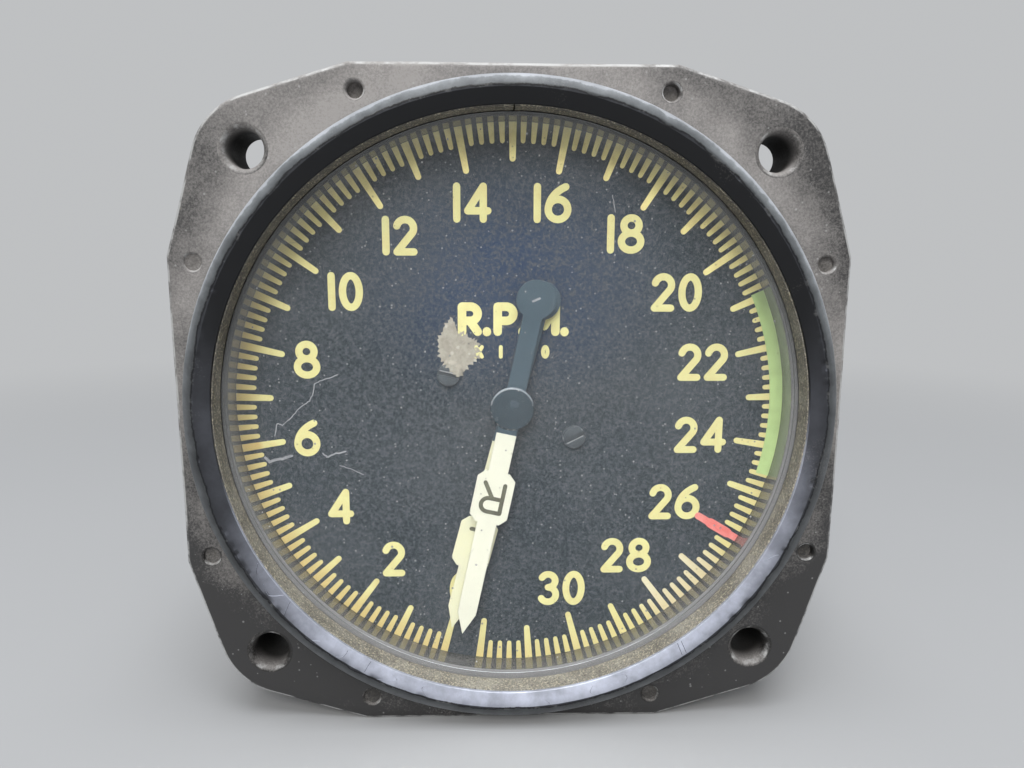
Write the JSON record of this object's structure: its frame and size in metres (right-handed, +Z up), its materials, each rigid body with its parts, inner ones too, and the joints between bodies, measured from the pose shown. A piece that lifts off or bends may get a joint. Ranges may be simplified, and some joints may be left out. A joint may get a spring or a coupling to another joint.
{
  "type": "aircraft tachometer",
  "caption": "Panel-mounted aircraft tachometer: flanged case, concentric left and right pointers geared to drag cups, synchronous motors and rear receptacles.",
  "frame": {"origin": "on the dial axis at the rear face of the mounting flange, the middle of the mounting holes", "axes": "+Y along the dial axis away from the face, +X to the right of a person reading the dial, +Z up"},
  "size_m": [0.0826, 0.1189, 0.0826],
  "materials": {
    "case_black": "worn black paint on cast metal, dusty",
    "bezel_black": "worn semi-gloss black enamel",
    "retainer_brown": "dusty brown",
    "clear_glass": "clear, lightly dusty",
    "black_rubber": "matte",
    "spacer_black": "satin black",
    "dial_black": "matte blue-black paint",
    "screw_black": "blackened",
    "pointer_ivory": "ivory paint with black hub and tail",
    "brass": "satin",
    "bronze": "satin",
    "steel": "satin",
    "spring_blue": "blued",
    "stack_iron": "dark laminated iron",
    "bare_aluminium": "satin",
    "copper": "enamelled winding wire",
    "lead_red": "varnished cloth sleeve",
    "insert_brown": "moulded phenolic",
    "contact_gold": "plated"
  },
  "bodies": {
    "case": {"flanged_case": "case_black", "rear_cover": "case_black", "bezel_ring": "bezel_black", "retaining_ring": "retainer_brown", "cover_glass": "clear_glass", "glass_gasket": "black_rubber", "rear_cover_gasket": "black_rubber", "spacer_ring": "spacer_black", "dial_plate": "dial_black", "dial_screws": "screw_black", "front_plate": "brass", "middle_plate": "brass", "motor_plate": "brass", "rear_plate": "brass", "front_pillars": "brass", "middle_pillars": "brass", "rear_pillars": "brass", "centre_bush": "bronze", "staff_bushes": "bronze", "motor_bushes": "bronze", "tie_rods": "steel", "tie_rod_nuts": "steel", "seat_screws": "steel", "hairspring_studs": "steel", "rear_cover_screws": "steel", "receptacle_trim": "steel", "right_hairspring": "spring_blue", "left_hairspring": "spring_blue", "right_stator": "stack_iron", "left_stator": "stack_iron", "right_motor_can": "bare_aluminium", "left_motor_can": "bare_aluminium", "receptacle_shells": "bare_aluminium", "right_windings": "copper", "left_windings": "copper", "motor_leads": "lead_red", "receptacle_inserts": "insert_brown", "contact_pins": "contact_gold"},
    "right_pointer_set": {"right_pointer": "pointer_ivory", "right_staff": "steel", "right_pinion": "brass"},
    "right_drag_set": {"right_drag_staff": "steel", "right_drag_gear": "brass", "right_drag_cup": "bare_aluminium", "right_collet": "brass"},
    "right_rotor_set": {"right_rotor_shaft": "steel", "right_rotor": "stack_iron", "right_drag_magnet": "stack_iron", "right_keeper": "steel"},
    "left_pointer_set": {"left_pointer": "pointer_ivory", "left_staff": "brass", "left_pinion": "brass"},
    "left_drag_set": {"left_drag_staff": "steel", "left_drag_gear": "brass", "left_drag_cup": "bare_aluminium", "left_collet": "brass"},
    "left_rotor_set": {"left_rotor_shaft": "steel", "left_rotor": "stack_iron", "left_drag_magnet": "stack_iron", "left_keeper": "steel"}
  },
  "joints": [
    {"name": "right_drag_turn", "type": "hinge", "parent": "case", "child": "right_drag_set", "pos_m": [0.018, 0, 0], "axis": [0, 1, 0], "range_deg": [-177.4, 0], "stiffness_Nm_per_rad": 0.0002, "deforming": ["right_hairspring"]},
    {"name": "right_pointer_turn", "type": "hinge", "parent": "case", "child": "right_pointer_set", "pos_m": [0, 0, 0], "axis": [0, 1, 0], "range_deg": [0, 354.8]},
    {"name": "right_rotor_spin", "type": "hinge", "parent": "case", "child": "right_rotor_set", "pos_m": [0.018, 0, 0], "axis": [0, 1, 0], "continuous": true},
    {"name": "left_drag_turn", "type": "hinge", "parent": "case", "child": "left_drag_set", "pos_m": [-0.018, 0, 0], "axis": [0, 1, 0], "range_deg": [-176, 0], "stiffness_Nm_per_rad": 0.0002, "deforming": ["left_hairspring"]},
    {"name": "left_pointer_turn", "type": "hinge", "parent": "case", "child": "left_pointer_set", "pos_m": [0, 0, 0], "axis": [0, 1, 0], "range_deg": [0, 352]},
    {"name": "left_rotor_spin", "type": "hinge", "parent": "case", "child": "left_rotor_set", "pos_m": [-0.018, 0, 0], "axis": [0, 1, 0], "continuous": true}
  ],
  "couplings": [
    {"joint": "right_pointer_turn", "follows": "right_drag_turn", "ratio": -2},
    {"joint": "left_pointer_turn", "follows": "left_drag_turn", "ratio": -2}
  ]
}
